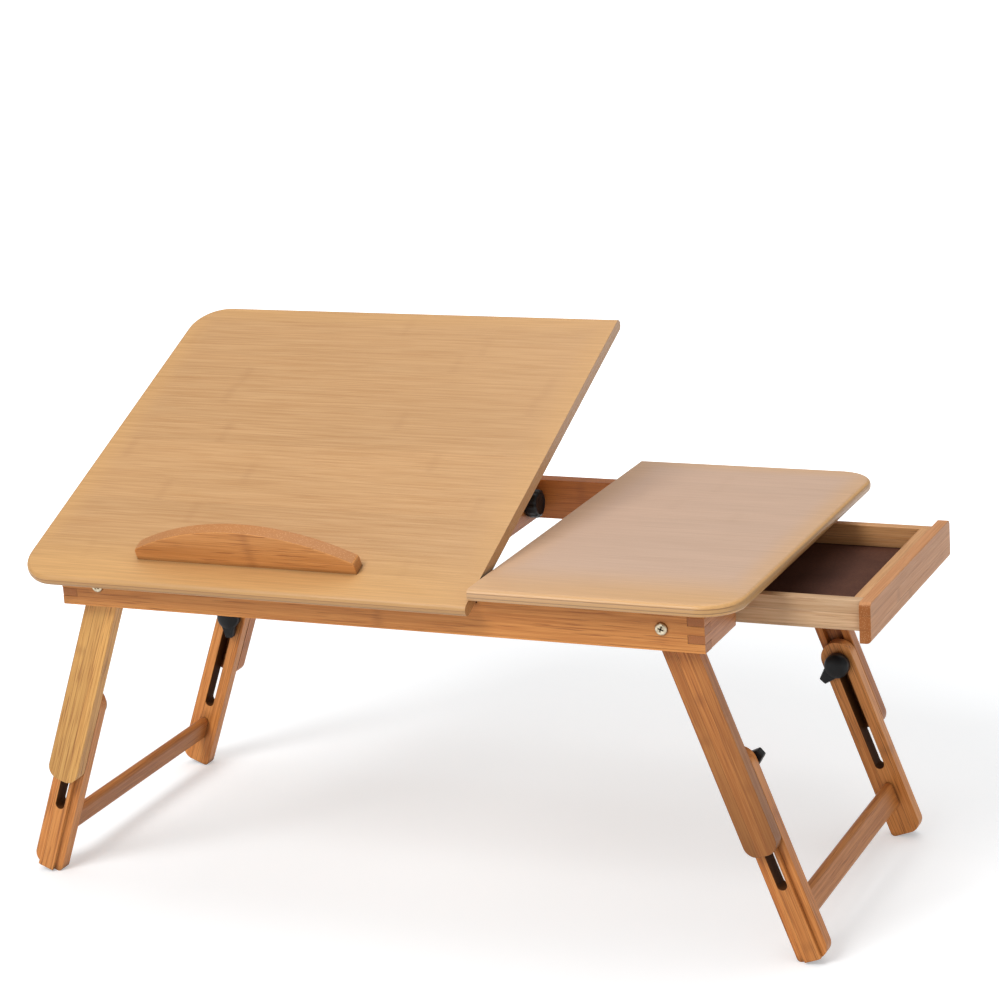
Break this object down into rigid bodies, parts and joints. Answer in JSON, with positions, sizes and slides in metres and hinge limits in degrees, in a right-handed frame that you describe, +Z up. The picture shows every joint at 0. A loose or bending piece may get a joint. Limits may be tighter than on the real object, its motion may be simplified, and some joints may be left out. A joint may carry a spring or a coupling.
{
  "type": "laptop stand with drawer",
  "caption": "Folding bamboo laptop stand with a tilting top and stop bar, a fixed side shelf, telescoping splayed legs and a drawer that slides out at one end.",
  "frame": {"origin": "under the middle of the part at rest, at floor level", "axes": "+X to the drawer end, +Y to the back, +Z up"},
  "size_m": [0.597, 0.3006, 0.3482],
  "materials": {
    "bamboo_top": "satin lacquered bamboo",
    "bamboo_frame": "satin lacquered bamboo",
    "bamboo_light": "satin lacquered bamboo",
    "dark_board": "dark stained thin board",
    "black_plastic": "moulded, semi-matte",
    "plated_steel": "bright plated"
  },
  "bodies": {
    "base": {"front_rail": "bamboo_frame", "back_rail": "bamboo_frame", "left_end_rail": "bamboo_frame", "right_end_rail": "bamboo_frame", "centre_rail": "bamboo_frame", "fixed_top": "bamboo_top", "prop_bolt": "plated_steel", "drawer_runner_front": "bamboo_frame", "drawer_runner_back": "bamboo_frame", "pivot_screw_left_front": "plated_steel", "pivot_screw_left_back": "plated_steel", "pivot_screw_right_front": "plated_steel", "pivot_screw_right_back": "plated_steel", "pivot_nut_left_front": "plated_steel", "pivot_nut_left_back": "plated_steel", "pivot_nut_right_front": "plated_steel", "pivot_nut_right_back": "plated_steel", "hinge_rail_leaf_left": "plated_steel", "hinge_rail_leaf_right": "plated_steel", "hinge_pin_left": "plated_steel", "hinge_pin_right": "plated_steel"},
    "tilting_top": {"tilt_top": "bamboo_top", "laptop_stop": "bamboo_top", "hinge_top_leaf_left": "plated_steel", "hinge_top_leaf_right": "plated_steel", "notched_strip": "bamboo_frame"},
    "prop": {"prop_arm": "bamboo_frame"},
    "prop_clamp": {"prop_knob": "black_plastic"},
    "drawer": {"drawer_front": "bamboo_light", "drawer_inner_front": "bamboo_light", "drawer_side_front": "bamboo_light", "drawer_side_back": "bamboo_light", "drawer_back": "bamboo_light", "drawer_bottom": "dark_board"},
    "left_upper_legs": {"upper_leg_left_front": "bamboo_frame", "upper_leg_left_back": "bamboo_frame", "clamp_stud_left_front": "plated_steel", "clamp_stud_left_back": "plated_steel"},
    "left_lower_legs": {"lower_leg_left_front": "bamboo_frame", "lower_leg_left_back": "bamboo_frame", "stretcher_left": "bamboo_frame"},
    "left_front_knob": {"wing_knob_left_front": "black_plastic"},
    "left_back_knob": {"wing_knob_left_back": "black_plastic"},
    "right_upper_legs": {"upper_leg_right_front": "bamboo_frame", "upper_leg_right_back": "bamboo_frame", "clamp_stud_right_front": "plated_steel", "clamp_stud_right_back": "plated_steel"},
    "right_lower_legs": {"lower_leg_right_front": "bamboo_frame", "lower_leg_right_back": "bamboo_frame", "stretcher_right": "bamboo_frame"},
    "right_front_knob": {"wing_knob_right_front": "black_plastic"},
    "right_back_knob": {"wing_knob_right_back": "black_plastic"}
  },
  "joints": [
    {"name": "top_tilt", "type": "hinge", "parent": "base", "child": "tilting_top", "pos_m": [-0.01187, -0.12187, 0.23132], "axis": [1, 0, 0], "range_deg": [-23.45, 6.5]},
    {"name": "prop_swing", "type": "hinge", "parent": "base", "child": "prop", "pos_m": [-0.01287, 0.10033, 0.22062], "axis": [1, 0, 0], "range_deg": [-4.84, 16.17]},
    {"name": "prop_knob_turn", "type": "hinge", "parent": "base", "child": "prop_clamp", "pos_m": [-0.00187, 0.10033, 0.22062], "axis": [1, 0, 0], "range_deg": [0, 360]},
    {"name": "drawer_slide", "type": "slide", "parent": "base", "child": "drawer", "axis": [1, 0, 0], "range_m": [-0.0854, 0.0058]},
    {"name": "left_legs_fold", "type": "hinge", "parent": "base", "child": "left_upper_legs", "pos_m": [-0.20937, 0.00033, 0.21962], "axis": [0, -1, 0], "range_deg": [0, 100]},
    {"name": "left_legs_retract", "type": "slide", "parent": "left_upper_legs", "child": "left_lower_legs", "axis": [0.3502, 0, 0.9367], "range_m": [-0.0019, 0.0745]},
    {"name": "left_front_knob_turn", "type": "hinge", "parent": "left_upper_legs", "child": "left_front_knob", "pos_m": [-0.24596, 0, 0.12174], "axis": [0, 1, 0], "range_deg": [0, 360]},
    {"name": "left_back_knob_turn", "type": "hinge", "parent": "left_upper_legs", "child": "left_back_knob", "pos_m": [-0.24596, 0, 0.12174], "axis": [0, -1, 0], "range_deg": [0, 360]},
    {"name": "right_legs_fold", "type": "hinge", "parent": "base", "child": "right_upper_legs", "pos_m": [0.18563, 0.00033, 0.21962], "axis": [0, 1, 0], "range_deg": [0, 100]},
    {"name": "right_legs_retract", "type": "slide", "parent": "right_upper_legs", "child": "right_lower_legs", "axis": [-0.3502, 0, 0.9367], "range_m": [-0.0019, 0.0745]},
    {"name": "right_front_knob_turn", "type": "hinge", "parent": "right_upper_legs", "child": "right_front_knob", "pos_m": [0.22223, 0, 0.12174], "axis": [0, 1, 0], "range_deg": [0, 360]},
    {"name": "right_back_knob_turn", "type": "hinge", "parent": "right_upper_legs", "child": "right_back_knob", "pos_m": [0.22223, 0, 0.12174], "axis": [0, -1, 0], "range_deg": [0, 360]}
  ],
  "couplings": [
    {"joint": "prop_swing", "follows": "top_tilt", "ratio": -0.667}
  ]
}
